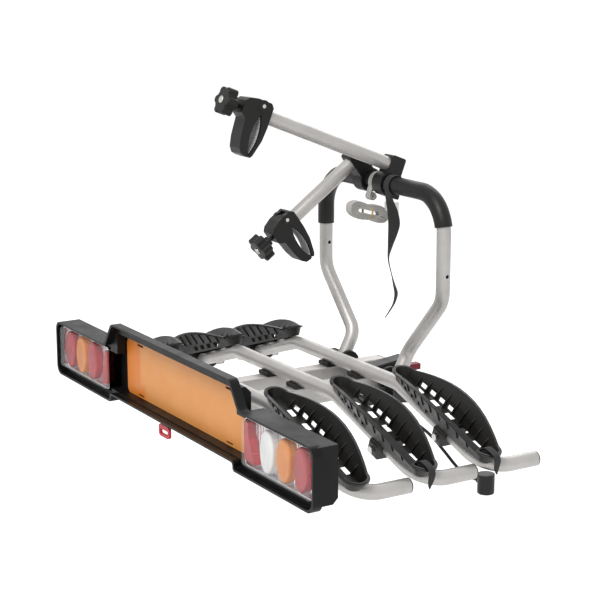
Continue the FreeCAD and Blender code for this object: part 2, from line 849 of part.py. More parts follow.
def lamp_body():
    """The reflector tray of the right lamp, trimmed to the wing box's bevel."""
    back = board_back + wing_box_depth - board_wall - seat_gap
    outer = rounded(box(lamp_inner, lamp_outer, lamp_front, back, lamp_low, lamp_high), Y_AXIS, 10)
    w = lamp_wall
    for y0, y1 in ((lamp_front - 1, lamp_front + lamp_reflector), (lamp_front + lamp_reflector + w, back + 1)):
        inner = box(lamp_inner + w, lamp_outer - w, y0, y1, lamp_low + w, lamp_high - w)
        outer = outer.cut(rounded(inner, Y_AXIS, 8))
    bevel = wing_box_bevel - 0.6 * board_wall
    low = wing_low + wing_box_bevel + board_wall
    corner = [(back - bevel, low), (back, low + bevel), (back + 2, low + bevel), (back + 2, low)]
    return outer.cut(side_prism(corner, lamp_inner - 1, lamp_outer + 1))


def lamp_cover():
    """The clear cover of the right lamp."""
    front = lamp_front - cover_bulge
    outer = rounded(box(lamp_inner, lamp_outer, front, lamp_front, lamp_low, lamp_high), Y_AXIS, 10)
    outer = outer.makeFillet(6, [e for e in outer.Edges if e.BoundBox.YMax < front + 0.1])
    w = cover_t
    inner = rounded(box(lamp_inner + w, lamp_outer - w, front + w, lamp_front + 1, lamp_low + w, lamp_high - w),
                    Y_AXIS, 8)
    return outer.cut(inner)


def oval_lens(x):
    """One upright oval lens, domed at the front, on the lamp's reflector."""
    y1 = lamp_front + lamp_reflector
    z = (lamp_low + lamp_high) / 2
    curve = Part.Ellipse(Vector(x, y1, z + lens_half_h), Vector(x + lens_half_w, y1, z), Vector(x, y1, z))
    face = Part.Face(Part.Wire(curve.toShape()))
    lens = face.extrude(Vector(0, -lens_depth, 0))
    front = [e for e in lens.Edges if e.BoundBox.YMax < y1 - lens_depth + 0.1]
    return lens.makeFillet(min(lens_round, lens_half_w / 4), front)


def reflector():
    """The reflector at a lamp's inner end: upright strip that widens downwards."""
    x0 = lamp_inner + cover_t + 1
    y1 = lamp_front + lamp_reflector
    low = lamp_low + 9
    high = lamp_high - 9
    ring = [(x0, low + 4), (x0 + reflector_w + 8, low), (x0 + reflector_w * 0.55, high - 30),
            (x0 + reflector_w * 0.45, high), (x0, high)]
    return front_prism(ring, y1 - lens_depth + 2, y1)


def lens_x(i):
    """The place of a lens, counted from a lamp's outer end."""
    return lens_outer_x - i * lens_pitch


# Hoop
def hoop_points():
    """The corners of the hoop's axis, from its left foot to its right foot."""
    knee = Vector(foot_x, hoop_y, foot_knee_z)
    pivot = Vector(foot_x, foot_y, foot_z)
    end = pivot + (pivot - knee).normalize() * foot_past
    right = [Vector(hoop_half, hoop_y, hoop_top), Vector(hoop_half, hoop_y, hoop_waist_z), knee, end]
    left = [Vector(-p.x, p.y, p.z) for p in reversed(right)]
    return left + right


def hoop_tube():
    """The hoop, bent from one tube, with its pivot holes and two cross holes."""
    radii = [foot_knee_r, hoop_waist_r, hoop_corner_r, hoop_corner_r, hoop_waist_r, foot_knee_r]
    tube = bent_tube(hoop_points(), radii, hoop_d, hoop_wall)
    reach = foot_x + hoop_d
    tube = tube.cut(rod(Vector(-reach, foot_y, foot_z), Vector(reach, foot_y, foot_z), foot_pin_d + 2 * pin_gap))
    for side in (-1, 1):
        hole = Vector(side * hoop_half, hoop_y, hole_z)
        tube = tube.cut(rod(hole - X_AXIS * hoop_d, hole + X_AXIS * hoop_d, hole_d))
    return tube


def hoop_sleeve():
    """The soft sleeve over the hoop's top; on the right it ends inside the bend."""
    bend_z = hoop_top - hoop_corner_r
    points = [
        Vector(-hoop_half, hoop_y, sleeve_left_z), Vector(-hoop_half, hoop_y, hoop_top),
        Vector(hoop_half, hoop_y, hoop_top), Vector(hoop_half, hoop_y, bend_z - 5),
    ]
    radii = [hoop_corner_r, hoop_corner_r]
    sleeve = swept(points, radii, sleeve_d).cut(swept(points, radii, hoop_d + 2 * sleeve_gap))
    turn = math.degrees(math.asin((sleeve_right_z - bend_z) / hoop_corner_r))
    centre = Vector(hoop_half - hoop_corner_r, hoop_y, bend_z)
    return sleeve.cut(moved(box(0, 150, -50, 50, -60, 0), centre, Rotation(Y_AXIS, -turn)))


def hoop_bracket():
    """The folded bracket that holds the right foot of the hoop."""
    inner = foot_x - hoop_d / 2 - ear_gap - ear_t
    outer = foot_x + hoop_d / 2 + ear_gap
    parts = [box(member_x + 8, outer + ear_t, foot_y - ear_r, foot_y + ear_r, member_bottom - 5, member_bottom)]
    for x in (inner, outer):
        parts.append(box(x, x + ear_t, foot_y - ear_r, foot_y + ear_r, member_bottom - 1, foot_z))
        parts.append(Part.makeCylinder(ear_r, ear_t, Vector(x, foot_y, foot_z), X_AXIS))
    body = fused(parts)
    return body.cut(rod(Vector(member_x, foot_y, foot_z), Vector(2 * foot_x, foot_y, foot_z), foot_pin_d + 2 * pin_gap))


def bracket_cover():
    """The domed plastic shield between a hoop bracket and its member, on the right."""
    x0 = member_x + member_w / 2 + 0.5
    x1 = foot_x - hoop_d / 2 - ear_gap - ear_t - 0.5
    dome = Part.makeCylinder(28, x1 - x0, Vector(x0, foot_y, foot_z), X_AXIS)
    dome = dome.common(box(x0, x1, foot_y - 28, foot_y + 28, foot_z - 14, foot_z + 28))
    return dome.makeFillet(3, [e for e in dome.Edges if e.BoundBox.ZMax > foot_z + 27 and e.BoundBox.XLength < 0.1])


def foot_pin():
    """The hinge bolt through the right foot, out to its hand knob."""
    start = foot_x - hoop_d / 2 - ear_gap - ear_t
    end = foot_x + hoop_d / 2 + ear_gap + ear_t + hoop_knob_t - 4
    return rod(Vector(start, foot_y, foot_z), Vector(end, foot_y, foot_z), foot_pin_d)


def foot_knob():
    """The ribbed hand knob on the right hinge bolt."""
    x0 = foot_x + hoop_d / 2 + ear_gap + ear_t + seat_gap
    knob = Part.makeCylinder(hoop_knob_d / 2, hoop_knob_t, Vector(x0, foot_y, foot_z), X_AXIS)
    knob = knob.makeFillet(4, [e for e in knob.Edges if e.BoundBox.XMin > x0 + hoop_knob_t - 0.1])
    for i in range(8):
        angle = math.pi / 4 * i
        offset = Vector(0, math.cos(angle), math.sin(angle)) * (hoop_knob_d / 2 + 2)
        start = Vector(x0 - 1, foot_y, foot_z) + offset
        knob = knob.cut(Part.makeCylinder(4.5, hoop_knob_t + 2, start, X_AXIS))
    bore_end = x0 + hoop_knob_t - 3
    return knob.cut(rod(Vector(x0 - 1, foot_y, foot_z), Vector(bore_end, foot_y, foot_z), foot_pin_d + 2 * pin_gap))


# Arms, in a frame of their own: the hoop's bar runs along X through the origin, the arm points along -Y.
# An arm's sizes are its length and its offset above the bar.
def arm_clamp(offset):
    """The block that grips the bar and holds the arm's tube."""
    half = arm_clamp_w / 2
    grip_r = sleeve_r + seat_gap
    ring = Part.makeCylinder(grip_r + arm_clamp_wall, arm_clamp_w, Vector(-half, 0, 0), X_AXIS)
    tower = rounded(box(-half, half, -16, arm_socket, 0, offset + arm_d / 2 + 6), X_AXIS, 5)
    tail = rounded(box(-half, half, -8, grip_r + arm_clamp_wall + 6, -grip_r - arm_clamp_wall, -grip_r + 4), X_AXIS, 3)
    body = fused([ring, tower, tail])
    body = body.cut(rod(Vector(-half - 1, 0, 0), Vector(half + 1, 0, 0), 2 * grip_r))
    socket_end = Vector(0, arm_socket - 6, offset)
    return body.cut(rod(socket_end, socket_end - Y_AXIS * 60, arm_d + 2 * pin_gap))


def arm_tube(arm):
    """The arm's tube, from its clamp into its jaw."""
    length, offset = arm
    start = Vector(0, arm_socket - 6, offset)
    end = Vector(0, -length - 12, offset)
    return rod(start, end, arm_d).cut(rod(start + Y_AXIS, end - Y_AXIS, arm_d - 2 * arm_wall))


def jaw_point(arm, a, p):
    """A point of the jaw: a along the arm from where its tube ends, p down from its axis."""
    length, offset = arm
    return -length - a, offset - p


def jaw_prism(arm, ring, half):
    """A jaw outline of (a, p) points, as thick as the jaw."""
    return side_prism([jaw_point(arm, a, p) for a, p in ring], -half, half)


def jaw_rod(arm, a, p, d, half):
    """A round bar across the jaw."""
    y, z = jaw_point(arm, a, p)
    return rod(Vector(-half, y, z), Vector(half, y, z), d)


def leaf(side, shrink):
    """Radius and centre of the arc that hollows one half of the jaw: -1 fixed, 1 moving."""
    depth = leaf_fixed if side < 0 else leaf_moving
    half_chord = (leaf_end - leaf_start) / 2
    radius = (half_chord ** 2 + depth ** 2) / (2 * depth)
    centre = jaw_seam + side * (depth - radius)
    return radius - shrink, centre


def leaf_rod(arm, side, shrink, half):
    """The round cutter behind one half of the jaw's opening."""
    radius, centre = leaf(side, shrink)
    return jaw_rod(arm, centre, (leaf_start + leaf_end) / 2, 2 * radius, half)


def fixed_jaw(arm):
    """The jaw half on the arm's tube, forked round the moving half's lug."""
    length, axis = arm
    seam = jaw_seam - jaw_split / 2
    ring = [(2, -19), (9, -jaw_up), (seam, -jaw_up), (seam, jaw_down - 2), (seam - 5, jaw_down), (15, jaw_down - 7),
            (5, 52), (2, 22)]
    body = rounded(jaw_prism(arm, ring, jaw_half), X_AXIS, 2)
    body = fused([body, jaw_rod(arm, jaw_seam, -rivet_up, 2 * cheek_r, jaw_half)])
    slot = lug_half + jaw_split
    body = body.cut(jaw_prism(arm, [(13.5, -40), (60, -40), (60, lug_slot_end), (13.5, lug_slot_end)], slot))
    body = body.cut(leaf_rod(arm, -1, 0, 60).common(
        jaw_prism(arm, [(-5, leaf_start), (60, leaf_start), (60, leaf_end), (-5, leaf_end)], 60)))
    body = body.cut(rod(Vector(0, 0, axis), Vector(0, -length - 12, axis), arm_d + 2 * pin_gap))
    return body.cut(jaw_rod(arm, jaw_seam, -rivet_up, rivet_d + 2 * pin_gap, 60))


def moving_jaw(arm):
    """The jaw half that swings on the rivet."""
    length, axis = arm
    seam = jaw_seam + jaw_split / 2
    far = jaw_reach
    ring = [(seam, -jaw_up), (far - 14, -jaw_up), (jaw_boss - 8, -22), (jaw_boss, -14), (jaw_boss, 12), (far + 2, 20),
            (far - 1, 58), (far - 6, 80), (far - 14, jaw_down - 2), (seam + 5, jaw_down), (seam, jaw_down - 2)]
    body = jaw_prism(arm, ring, jaw_half)
    body = rounded(body, X_AXIS, 3)
    keep = jaw_prism(arm, [(0, -60), (80, -60), (80, 100), (0, 100)], lug_half)
    sides = jaw_rod(arm, jaw_seam, -rivet_up, 2 * cheek_r + 1, 60).cut(keep)
    body = body.cut(sides)
    body = body.cut(leaf_rod(arm, 1, 0, 60).common(
        jaw_prism(arm, [(-5, leaf_start), (60, leaf_start), (60, leaf_end), (-5, leaf_end)], 60)))
    lug = jaw_rod(arm, jaw_seam, -rivet_up, 2 * lug_r, lug_half)
    body = fused([body, lug])
    body = body.cut(jaw_rod(arm, jaw_seam, -rivet_up, rivet_d + 2 * pin_gap, 60))
    return body.cut(rod(Vector(0, -length, axis), Vector(0, -length - 100, axis), stud_d + 2 * stud_clear))


def jaw_pad(arm, side):
    """The rubber pad in one half of the jaw: -1 fixed, 1 moving."""
    skin = leaf_rod(arm, side, 0.1, jaw_half - 3).cut(leaf_rod(arm, side, 0.1 + pad_t, 60))
    seam = jaw_seam + side * (jaw_split + 1)
    far = jaw_seam + side * 20
    window = [(seam, leaf_start + 2), (far, leaf_start + 2), (far, leaf_end - 2), (seam, leaf_end - 2)]
    return skin.common(jaw_prism(arm, window, 60))


def arm_fasteners(arm):
    """The jaw's rivet and the clamp's bolt."""
    rivet = jaw_rod(arm, jaw_seam, -rivet_up, rivet_d, jaw_half + 0.8)
    bolt = bolt_head(Vector(0, arm_socket, 28), Y_AXIS)
    return Part.makeCompound([rivet, bolt])


def jaw_knob(arm):
    """The lobed hand knob with its threaded stud."""
    length, axis = arm
    front = -length - knob_front
    back = front + knob_t
    disc = Part.makeCylinder(knob_d / 2 - 6, knob_t, Vector(0, front, axis), Y_AXIS)
    parts = [disc]
    for i in range(knob_lobes):
        angle = 2 * math.pi / knob_lobes * i
        reach = knob_d / 2 - 9
        centre = Vector(reach * math.cos(angle), front, axis + reach * math.sin(angle))
        parts.append(Part.makeCylinder(9, knob_t, centre, Y_AXIS))
    knob = fused(parts)
    knob = knob.makeFillet(3, [e for e in knob.Edges if e.BoundBox.YMax < front + 0.1])
    hub = rod(Vector(0, back - 1, axis), Vector(0, back + knob_hub_len, axis), knob_hub_d)
    stud = rod(Vector(0, front - 1.5, axis), Vector(0, -length - stud_tip, axis), stud_d)
    return fused([knob, hub, stud])


def on_bar(shape, x, angle):
    """A shape from the arm's frame, set on the hoop's bar and turned up by an angle."""
    return moved(shape, Vector(x, hoop_y, hoop_top), Rotation(X_AXIS, -angle))


# Straps on the hoop
def strap_ring(x, width):
    """A turn of webbing round the hoop's bar."""
    inner = sleeve_r + strap_ring_gap
    start = Vector(x - width / 2, hoop_y, hoop_top)
    outer = Part.makeCylinder(inner + strap_ring_t, width, start, X_AXIS)
    return outer.cut(Part.makeCylinder(inner, width, start, X_AXIS))


def strap_hank():
    """The light strap: a turn on the bar, a small roll and the hank that hangs from it."""
    x = grey_strap_x
    w = strap_w
    low = hoop_top - sleeve_r - strap_ring_gap
    roll = Part.makeCylinder(10, w, Vector(x - w / 2, hoop_y - 14, low - 9), X_AXIS)
    tie = box(x - w / 2 + 3, x + w / 2 - 3, hoop_y - 20, hoop_y - 8, hank_z + hank_h / 2 - 12, low - 8)
    end = hank_h / 2
    x0 = x - hank_t / 2 + 6
    x1 = x0 + hank_t
    core = box(x0, x1, hank_y - hank_len / 2 + end, hank_y + hank_len / 2 - end, hank_z - end + 5, hank_z + end - 5)
    parts = [strap_ring(grey_ring_x, ring_w), roll, tie, core]
    for side in (-1, 1):
        y = hank_y + side * (hank_len / 2 - end)
        parts.append(Part.makeCylinder(end, hank_t, Vector(x0, y, hank_z), X_AXIS))
    return fused(parts)


def strap_buckle():
    """The cam buckle at the hank's front end."""
    x0 = grey_strap_x - 6
    y0 = hank_y + hank_len / 2 + seat_gap
    frame = rounded(box(x0, x0 + 26, y0, y0 + 20, hank_z - 20, hank_z + 18), Y_AXIS, 3)
    frame = frame.cut(box(x0 + 3, x0 + 23, y0 + 5, y0 + 21, hank_z - 14, hank_z + 12))
    cam = rod(Vector(x0 + 1, y0 + 12, hank_z + 2), Vector(x0 + 25, y0 + 12, hank_z + 2), 12)
    return fused([frame, cam])


def black_strap():
    """The dark webbing: a turn on the bar and a tail that twists as it hangs."""
    sections = []
    for side, front, drop, turn in black_strap_run:
        angle = math.radians(turn)
        along = Vector(math.cos(angle), math.sin(angle), 0) * (black_strap_w / 2)
        across = Vector(-math.sin(angle), math.cos(angle), 0) * (strap_t / 2)
        centre = Vector(black_strap_x + side, black_strap_y - front, black_strap_z - drop)
        ring = [centre + along + across, centre - along + across, centre - along - across, centre + along - across]
        sections.append(Part.makePolygon(ring + [ring[0]]))
    tail = Part.makeLoft(sections, True, True)
    return fused([strap_ring(black_strap_x, black_strap_w), tail])


# Tilt latch
def latch_rod():
    """The long rod whose bevelled tip rests on the coupling's keeper."""
    tip = keeper_end + keeper_step - latch_gap
    bar = rod(Vector(latch_x, loop_y + loop_d, latch_z), Vector(latch_x, tip + latch_d / 2, latch_z), latch_d)
    bevel = side_prism([(tip + latch_d, latch_z + latch_d), (tip - latch_d, latch_z - latch_d),
                        (tip + latch_d, latch_z - latch_d)], latch_x - latch_d, latch_x + latch_d)
    return bar.cut(bevel)


def release_loop():
    """The pull loop under the light board."""
    x0 = latch_x - loop_w / 2
    x1 = latch_x + loop_w / 2
    z1 = latch_z + 6
    z0 = z1 - loop_h
    ring = rounded(box(x0, x1, loop_y, loop_y + loop_d, z0, z1), Y_AXIS, 8)
    gap = rounded(box(x0 + loop_d, x1 - loop_d, loop_y - 1, loop_y + loop_d + 1, z0 + loop_d, z1 - 10), Y_AXIS, 2)
    return ring.cut(gap)


# Plug and cable
def plug():
    """The socket plug, hung by its neck under the rail, with its side gland."""
    body = Part.makeCylinder(plug_d / 2, plug_h, Vector(plug_x, plug_y, plug_top - plug_h))
    body = body.makeFillet(3, [e for e in body.Edges if e.BoundBox.ZMax < plug_top - plug_h + 0.1])
    z = cable_points[-1][2]
    gland_end = plug_x - plug_d / 2 - gland_len
    gland = rod(Vector(gland_end, plug_y, z), Vector(plug_x, plug_y, z), gland_d)
    return fused([body, gland])


def cable():
    """The cable from the right member to the plug."""
    points = [Vector(*p) for p in cable_points]
    radii = []
    for before, corner, after in zip(points, points[1:], points[2:]):
        turn = math.pi - (before - corner).getAngle(after - corner)
        shorter = min((before - corner).Length, (after - corner).Length)
        radii.append(0.45 * shorter / math.tan(turn / 2))
    print("cable bend radii", [round(r) for r in radii])
    solid = swept(points, radii, cable_d)
    length = solid.Volume / (math.pi * cable_d ** 2 / 4)
    print("cable length", round(length), "path", round(bent_path(points, radii).Length))
    return solid


def make_coupling():
    """The pieces on the tow ball."""
    nodes["coupling_housing"] = coupling_housing()
    nodes["ball_jaw"] = ball_jaw()
    nodes["coupling_lever"] = coupling_lever()
    nodes["lever_cover"] = lever_cover()
    nodes["release_button"] = release_button()
    nodes["coupling_pins"] = coupling_pins()


def make_platform():
    """Members, rails, trays and what fastens them."""
    nodes["right_member"] = member()
    nodes["left_member"] = mirrored(member())
    nodes["tilt_yoke"] = tilt_yoke()
    nodes["board_bracket"] = board_bracket()
    nodes["tube_caps"] = tube_caps()
    nodes["rail_saddles"] = rail_saddles()
    one_tray = tray()
    clamps = []
    straps = []
    bolts = []
    for number, y in enumerate(rail_ys, 1):
        nodes["rail_%d" % number] = rail(y)
        for side, name in ((-1, "left"), (1, "right")):
            nodes["%s_tray_%d" % (name, number)] = on_rail(one_tray, y, side)
            clamps.append(on_rail(tray_clamp(), y, side))
            if side > 0 and number > 1:
                straps.append(on_rail(wheel_strap(), y, side))
            bolts.append(on_rail(tray_bolt(), y, side))
            bolts.append(bolt_head(Vector(side * member_x, y, member_bottom), Vector(0, 0, -1)))
    bolts += [mirrored(foot_pin()), foot_pin()]
    nodes["tray_clamps"] = Part.makeCompound(clamps)
    nodes["wheel_straps"] = Part.makeCompound(straps)
    nodes["frame_bolts"] = Part.makeCompound(bolts)


def make_light_board():
    """The light board with its lamps."""
    nodes["light_board"] = light_board()
    nodes["plate_panel"] = plate_panel()
    nodes["lamp_bodies"] = both_sides(lamp_body())
    nodes["lamp_covers"] = both_sides(lamp_cover())
    nodes["amber_lenses"] = both_sides(oval_lens(lens_x(1)))
    red = [oval_lens(lens_x(0)), mirrored(oval_lens(lens_x(0))), mirrored(oval_lens(lens_x(2)))]
    nodes["red_lenses"] = Part.makeCompound(red + [reflector(), mirrored(reflector())])
    nodes["clear_lens"] = oval_lens(lens_x(2))


def make_hoop():
    """The hoop with its sleeve, brackets, knobs and straps."""
    nodes["hoop_tube"] = hoop_tube()
    nodes["hoop_sleeve"] = hoop_sleeve()
    nodes["hoop_brackets"] = both_sides(hoop_bracket())
    nodes["bracket_covers"] = both_sides(bracket_cover())
    nodes["right_foot_knob"] = foot_knob()
    nodes["left_foot_knob"] = mirrored(foot_knob())
    nodes["strap_hank"] = strap_hank()
    nodes["strap_buckle"] = strap_buckle()
    nodes["black_strap"] = black_strap()


def make_arm(name, x, angle, arm):
    """One arm with its clamp, jaw and knob."""
    nodes[name + "_arm_clamp"] = on_bar(arm_clamp(arm[1]), x, angle)
    nodes[name + "_arm_tube"] = on_bar(arm_tube(arm), x, angle)
    nodes[name + "_fixed_jaw"] = on_bar(fixed_jaw(arm), x, angle)
    nodes[name + "_moving_jaw"] = on_bar(moving_jaw(arm), x, angle)
    nodes[name + "_fixed_pad"] = on_bar(jaw_pad(arm, -1), x, angle)
    nodes[name + "_moving_pad"] = on_bar(jaw_pad(arm, 1), x, angle)
    nodes[name + "_arm_fasteners"] = on_bar(arm_fasteners(arm), x, angle)
    nodes[name + "_jaw_knob"] = on_bar(jaw_knob(arm), x, angle)


make_coupling()
make_platform()
make_light_board()
make_hoop()
make_arm("upper", upper_arm_x, upper_arm_angle, (upper_arm_len, upper_arm_offset))
make_arm("lower", lower_arm_x, lower_arm_angle, (lower_arm_len, lower_arm_offset))
nodes["latch_rod"] = latch_rod()
nodes["release_loop"] = release_loop()
nodes["plug"] = plug()
nodes["cable"] = cable()

os.makedirs("parts", exist_ok=True)
for name, shape in nodes.items():
    shape.exportStep("parts/%s.step" % name)
print(len(nodes), "nodes")
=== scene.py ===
import json
import math
import bpy
from mathutils import Matrix, Vector


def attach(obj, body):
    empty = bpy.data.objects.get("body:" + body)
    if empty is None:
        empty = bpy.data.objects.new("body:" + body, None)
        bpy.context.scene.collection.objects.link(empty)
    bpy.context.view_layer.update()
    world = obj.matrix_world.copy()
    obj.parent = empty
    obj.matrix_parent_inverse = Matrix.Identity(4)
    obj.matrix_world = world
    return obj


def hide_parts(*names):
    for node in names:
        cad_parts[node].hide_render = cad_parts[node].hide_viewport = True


# Tow ball bike rack: finishes, soft pieces and studio
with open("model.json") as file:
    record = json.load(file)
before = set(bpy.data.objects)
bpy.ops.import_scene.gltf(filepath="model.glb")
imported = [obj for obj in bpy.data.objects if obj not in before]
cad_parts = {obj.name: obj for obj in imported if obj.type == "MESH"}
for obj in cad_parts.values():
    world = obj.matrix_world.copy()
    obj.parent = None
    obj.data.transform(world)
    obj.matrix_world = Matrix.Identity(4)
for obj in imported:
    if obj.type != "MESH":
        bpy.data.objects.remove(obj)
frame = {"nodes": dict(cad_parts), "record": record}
bpy.ops.object.select_all(action="DESELECT")
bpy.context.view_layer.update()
nodes = frame["nodes"]
scene = bpy.context.scene


# Finishes
def start_finish(name):
    """A new material with its shader, its object coordinates and short ways to add nodes."""
    finish = bpy.data.materials.new(name)
    finish.use_nodes = True
    tree = finish.node_tree
    shader = tree.nodes["Principled BSDF"]
    place = tree.nodes.new("ShaderNodeTexCoord")
    return finish, tree, shader, place.outputs["Object"]


def noise(tree, place, scale, detail=4.0, stretch=None):
    """A noise pattern of that scale; stretch squeezes it along X, Y and Z."""
    if stretch:
        mapping = tree.nodes.new("ShaderNodeMapping")
        mapping.inputs["Scale"].default_value = stretch
        tree.links.new(place, mapping.inputs["Vector"])
        place = mapping.outputs["Vector"]
    texture = tree.nodes.new("ShaderNodeTexNoise")
    texture.inputs["Scale"].default_value = scale
    texture.inputs["Detail"].default_value = detail
    tree.links.new(place, texture.inputs["Vector"])
    return texture.outputs["Fac"]


def spread(tree, value, low, high, start=0.3, end=0.7):
    """A pattern's value turned into numbers from low to high."""
    ranges = tree.nodes.new("ShaderNodeMapRange")
    ranges.inputs["From Min"].default_value = start
    ranges.inputs["From Max"].default_value = end
    ranges.inputs["To Min"].default_value = low
    ranges.inputs["To Max"].default_value = high
    tree.links.new(value, ranges.inputs["Value"])
    return ranges.outputs["Result"]


def two_colours(tree, value, first, second):
    """A colour between two, by a pattern's value."""
    mix = tree.nodes.new("ShaderNodeMix")
    mix.data_type = "RGBA"
    mix.inputs["A"].default_value = (*first, 1.0)
    mix.inputs["B"].default_value = (*second, 1.0)
    tree.links.new(value, mix.inputs["Factor"])
    return mix.outputs["Result"]


def relief(tree, value, depth, strength=1.0, under=None):
    """A bump of that depth in metres from a pattern's value, over another bump."""
    bump = tree.nodes.new("ShaderNodeBump")
    bump.inputs["Strength"].default_value = strength
    bump.inputs["Distance"].default_value = depth
    tree.links.new(value, bump.inputs["Height"])
    if under:
        tree.links.new(under, bump.inputs["Normal"])
    return bump.outputs["Normal"]


def sum_of(tree, first, second, operation="ADD"):
    """Two values joined by a sum, product or other operation."""
    node = tree.nodes.new("ShaderNodeMath")
    node.operation = operation
    for value, socket in zip((first, second), node.inputs):
        if isinstance(value, float):
            socket.default_value = value
        else:
            tree.links.new(value, socket)
    return node.outputs["Value"]


def moulded(name, colour, dusty, rough=(0.38, 0.55), grain=1400.0, depth=0.00012, specular=0.25):
    """Moulded plastic or rubber: fine grain, slow changes of sheen and a little dust."""
    finish, tree, shader, place = start_finish(name)
    slow = noise(tree, place, 9.0, 3.0)
    tone = two_colours(tree, spread(tree, slow, 0.0, 1.0), colour, dusty)
    tree.links.new(tone, shader.inputs["Base Color"])
    tree.links.new(spread(tree, noise(tree, place, 28.0, 5.0), *rough), shader.inputs["Roughness"])
    fine = relief(tree, noise(tree, place, grain, 2.0), depth, 0.5)
    tree.links.new(relief(tree, noise(tree, place, 60.0, 3.0), 0.0003, 0.25, fine), shader.inputs["Normal"])
    shader.inputs["Specular IOR Level"].default_value = specular
    return finish


def lacquered(name, colour, shade, metal, rough=(0.3, 0.42)):
    """Satin silver lacquer over drawn tube: faint streaks along X and Z and a fine orange peel."""
    finish, tree, shader, place = start_finish(name)
    cloud = noise(tree, place, 14.0, 4.0)
    tone = two_colours(tree, spread(tree, cloud, 0.0, 1.0), colour, shade)
    tree.links.new(tone, shader.inputs["Base Color"])
    tree.links.new(spread(tree, noise(tree, place, 45.0, 6.0), *rough), shader.inputs["Roughness"])
    shader.inputs["Metallic"].default_value = metal
    peel = relief(tree, noise(tree, place, 420.0, 2.0), 0.00005, 0.4)
    tree.links.new(peel, shader.inputs["Normal"])
    shader.inputs["Coat Weight"].default_value = 0.1
    shader.inputs["Coat Roughness"].default_value = 0.25
    return finish


def bare_metal(name, colour, rough=(0.24, 0.42), stretch=(3.0, 1.0, 3.0)):
    """Plated or turned steel with fine lines."""
    finish, tree, shader, place = start_finish(name)
    lines = noise(tree, place, 260.0, 3.0, stretch)
    dull = noise(tree, place, 30.0, 4.0)
    paler = tuple(min(1.0, c * 1.25) for c in colour)
    tone = two_colours(tree, spread(tree, dull, 0.0, 1.0), colour, paler)
    tree.links.new(tone, shader.inputs["Base Color"])
    tree.links.new(spread(tree, lines, *rough), shader.inputs["Roughness"])
    tree.links.new(relief(tree, lines, 0.00005, 0.4), shader.inputs["Normal"])
    shader.inputs["Metallic"].default_value = 1.0
    return finish


def tinted(name, colour, deep, through, rough=0.08, ridges=700.0):
    """Clear tinted lamp plastic with fine upright ribs."""
    finish, tree, shader, place = start_finish(name)
    ribs = tree.nodes.new("ShaderNodeTexWave")
    ribs.bands_direction = "X"
    ribs.inputs["Scale"].default_value = ridges / 6.0
    ribs.inputs["Distortion"].default_value = 0.0
    tree.links.new(place, ribs.inputs["Vector"])
    cloud = noise(tree, place, 40.0, 2.0)
    tone = two_colours(tree, spread(tree, cloud, 0.0, 1.0), colour, deep)
    tree.links.new(tone, shader.inputs["Base Color"])
    tree.links.new(relief(tree, ribs.outputs["Fac"], 0.0006, 0.6), shader.inputs["Normal"])
    shader.inputs["Roughness"].default_value = rough
    shader.inputs["Transmission Weight"].default_value = through
    shader.inputs["IOR"].default_value = 1.49
    return finish


def woven(name, colour, thread, pitch=0.0016, sheen=0.3):
    """Webbing: over and under threads that follow the strap's own map, across and along."""
    finish, tree, shader, place = start_finish(name)
    uv = tree.nodes.new("ShaderNodeTexCoord").outputs["UV"]
    waves = []
    for direction in ("X", "Y"):
        wave = tree.nodes.new("ShaderNodeTexWave")
        wave.bands_direction = direction
        wave.inputs["Scale"].default_value = 0.314 / pitch
        wave.inputs["Distortion"].default_value = 0.4
        wave.inputs["Detail Scale"].default_value = 2.0
        tree.links.new(uv, wave.inputs["Vector"])
        waves.append(wave.outputs["Fac"])
    weave = sum_of(tree, waves[0], waves[1], "MULTIPLY")
    dirt = noise(tree, place, 30.0, 4.0)
    tone = sum_of(tree, sum_of(tree, weave, 0.6, "MULTIPLY"), sum_of(tree, dirt, 0.4, "MULTIPLY"))
    tree.links.new(two_colours(tree, spread(tree, tone, 0.0, 1.0, 0.1, 0.7), colour, thread),
                   shader.inputs["Base Color"])
    tree.links.new(relief(tree, weave, 0.0005, 0.7), shader.inputs["Normal"])
    shader.inputs["Roughness"].default_value = 0.85
    shader.inputs["Sheen Weight"].default_value = sheen
    return finish


def reflector_finish(inner_end=0.3005):
    """Metallised lamp reflector with a fluted pattern, dark at the end nearest the panel."""
    finish, tree, shader, place = start_finish("metallised_reflector")
    flutes = tree.nodes.new("ShaderNodeTexWave")
    flutes.bands_direction = "X"
    flutes.inputs["Scale"].default_value = 55.0
    flutes.inputs["Distortion"].default_value = 1.5
    tree.links.new(place, flutes.inputs["Vector"])
    facets = tree.nodes.new("ShaderNodeTexVoronoi")
    facets.inputs["Scale"].default_value = 110.0
    tree.links.new(place, facets.inputs["Vector"])
    both = sum_of(tree, flutes.outputs["Fac"], facets.outputs["Distance"])
    bright = two_colours(tree, spread(tree, facets.outputs["Distance"], 0.0, 1.0, 0.0, 0.8),
                         (0.92, 0.92, 0.93), (0.62, 0.62, 0.64))
    axes = tree.nodes.new("ShaderNodeSeparateXYZ")
    tree.links.new(place, axes.inputs["Vector"])
    side = sum_of(tree, axes.outputs["X"], 0.0, "ABSOLUTE")
    outward = spread(tree, side, 0.0, 1.0, inner_end, inner_end + 0.0005)
    end_dark = tree.nodes.new("ShaderNodeMix")
    end_dark.data_type = "RGBA"
    end_dark.inputs["A"].default_value = (0.012, 0.007, 0.006, 1.0)
    tree.links.new(bright, end_dark.inputs["B"])
    tree.links.new(outward, end_dark.inputs["Factor"])
    tree.links.new(end_dark.outputs["Result"], shader.inputs["Base Color"])
    tree.links.new(relief(tree, both, 0.0012, 0.6), shader.inputs["Normal"])
    shader.inputs["Metallic"].default_value = 1.0
    shader.inputs["Roughness"].default_value = 0.16
    return finish


